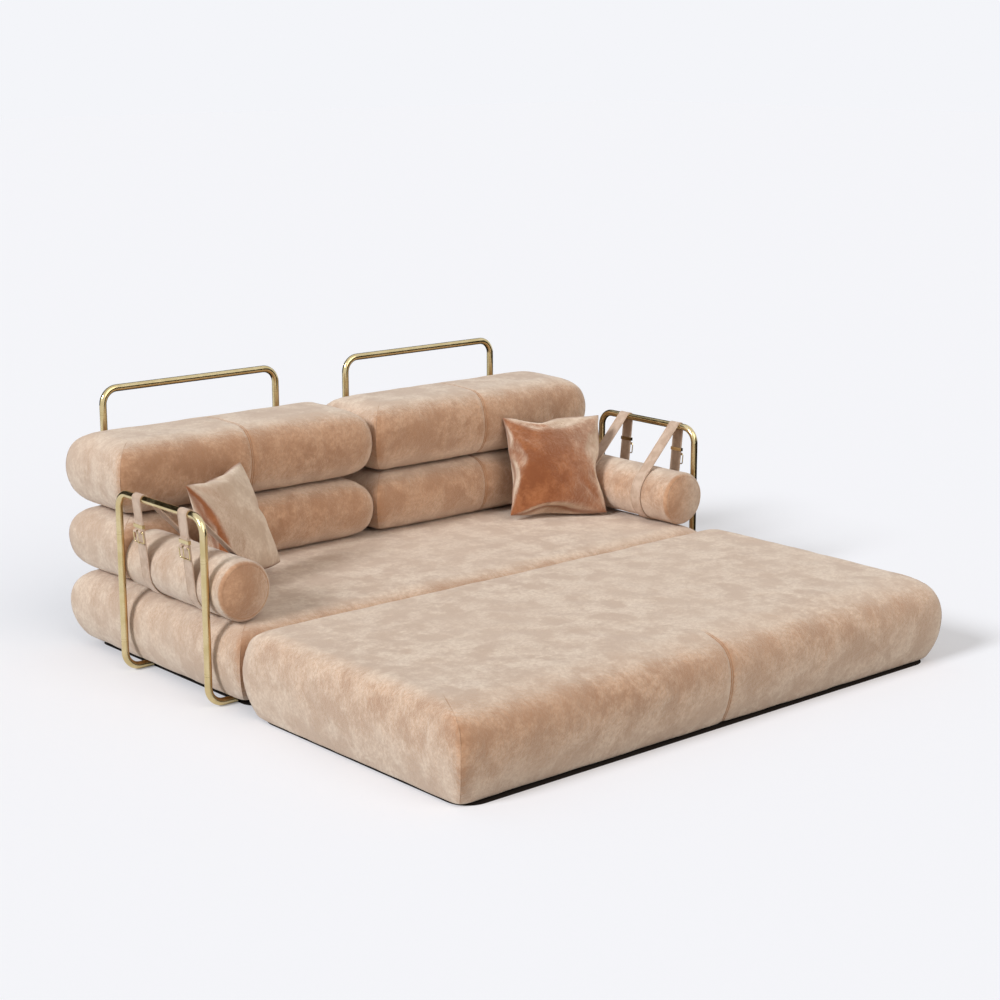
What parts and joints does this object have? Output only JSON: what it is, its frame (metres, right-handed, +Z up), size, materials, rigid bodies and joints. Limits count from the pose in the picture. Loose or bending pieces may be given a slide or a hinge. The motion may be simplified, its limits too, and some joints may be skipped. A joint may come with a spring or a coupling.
{
  "type": "futon sleeper sofa",
  "caption": "Low velvet sofa bed with rounded blocks, brass arm and back hoops, strapped round bolsters, throw pillows and a slide-away front module.",
  "frame": {"origin": "on the floor, under the middle of the whole sofa with the front module docked", "axes": "+Z up, X along the sofa's width, -Y towards the front, +Y towards the back hoops"},
  "size_m": [2.2338, 2.1723, 0.89],
  "materials": {
    "velvet": "matt, blotchy peach velvet",
    "foam": "open foam",
    "timber": "planed",
    "lining": "woven lining",
    "glide": "moulded",
    "steel": "zinc plated",
    "brass": "polished",
    "leather": "smooth, edge stitched"
  },
  "bodies": {
    "base": {"seat_cover": "velvet", "seat_foam": "foam", "seat_frame": "timber", "seat_slats": "timber", "seat_closing_cloth": "lining", "seat_glides": "glide", "dock_brackets": "steel", "left_arm_hoop": "brass", "left_arm_legs": "brass", "left_arm_feet": "brass", "left_back_hoop": "brass", "left_back_legs": "brass", "left_back_feet": "brass", "right_arm_hoop": "brass", "right_arm_legs": "brass", "right_arm_feet": "brass", "right_back_hoop": "brass", "right_back_legs": "brass", "right_back_feet": "brass", "tube_spigots": "brass", "foot_plugs": "glide", "foot_bolts": "steel", "foot_pads": "glide", "left_front_strap": "leather", "left_rear_strap": "leather", "right_front_strap": "leather", "right_rear_strap": "leather", "strap_buckles": "brass", "strap_keepers": "brass"},
    "front_module": {"module_cover": "velvet", "module_foam": "foam", "module_frame": "timber", "module_slats": "timber", "module_closing_cloth": "lining", "module_glides": "glide", "dock_tongues": "steel"},
    "left_lower_back": {"left_lower_back_cover": "velvet", "left_lower_back_foam": "foam"},
    "left_upper_back": {"left_upper_back_cover": "velvet", "left_upper_back_foam": "foam"},
    "left_bolster": {"left_bolster_cover": "velvet", "left_bolster_core": "foam"},
    "left_pillow": {"left_pillow_cover": "velvet", "left_pillow_filling": "foam"},
    "left_front_prong": {"left_front_prong": "brass"},
    "left_rear_prong": {"left_rear_prong": "brass"},
    "right_lower_back": {"right_lower_back_cover": "velvet", "right_lower_back_foam": "foam"},
    "right_upper_back": {"right_upper_back_cover": "velvet", "right_upper_back_foam": "foam"},
    "right_bolster": {"right_bolster_cover": "velvet", "right_bolster_core": "foam"},
    "right_pillow": {"right_pillow_cover": "velvet", "right_pillow_filling": "foam"},
    "right_front_prong": {"right_front_prong": "brass"},
    "right_rear_prong": {"right_rear_prong": "brass"}
  },
  "joints": [
    {"name": "module_slide", "type": "slide", "parent": "base", "child": "front_module", "axis": [0, -1, 0], "range_m": [0, 0.6]},
    {"name": "left_lower_back_lift", "type": "slide", "parent": "base", "child": "left_lower_back", "axis": [0, 0, 1], "range_m": [0, 0.3]},
    {"name": "left_upper_back_lift", "type": "slide", "parent": "left_lower_back", "child": "left_upper_back", "axis": [0, 0, 1], "range_m": [0, 0.3]},
    {"name": "left_pillow_lift", "type": "slide", "parent": "base", "child": "left_pillow", "axis": [0, 0, 1], "range_m": [0, 0.3]},
    {"name": "left_bolster_turn", "type": "hinge", "parent": "base", "child": "left_bolster", "pos_m": [-0.9875, 0.35365, 0.3776], "axis": [0, 1, 0], "range_deg": [-180, 180]},
    {"name": "left_front_prong_turn", "type": "hinge", "parent": "base", "child": "left_front_prong", "pos_m": [-1.11156, 0.22415, 0.512], "axis": [0, 1, 0], "range_deg": [0, 110]},
    {"name": "left_rear_prong_turn", "type": "hinge", "parent": "base", "child": "left_rear_prong", "pos_m": [-1.11156, 0.49815, 0.512], "axis": [0, 1, 0], "range_deg": [0, 110]},
    {"name": "right_lower_back_lift", "type": "slide", "parent": "base", "child": "right_lower_back", "axis": [0, 0, 1], "range_m": [0, 0.3]},
    {"name": "right_upper_back_lift", "type": "slide", "parent": "right_lower_back", "child": "right_upper_back", "axis": [0, 0, 1], "range_m": [0, 0.3]},
    {"name": "right_pillow_lift", "type": "slide", "parent": "base", "child": "right_pillow", "axis": [0, 0, 1], "range_m": [0, 0.3]},
    {"name": "right_bolster_turn", "type": "hinge", "parent": "base", "child": "right_bolster", "pos_m": [0.9875, 0.35365, 0.3776], "axis": [0, 1, 0], "range_deg": [-180, 180]},
    {"name": "right_front_prong_turn", "type": "hinge", "parent": "base", "child": "right_front_prong", "pos_m": [1.11156, 0.22415, 0.512], "axis": [0, -1, 0], "range_deg": [0, 110]},
    {"name": "right_rear_prong_turn", "type": "hinge", "parent": "base", "child": "right_rear_prong", "pos_m": [1.11156, 0.49815, 0.512], "axis": [0, -1, 0], "range_deg": [0, 110]}
  ]
}
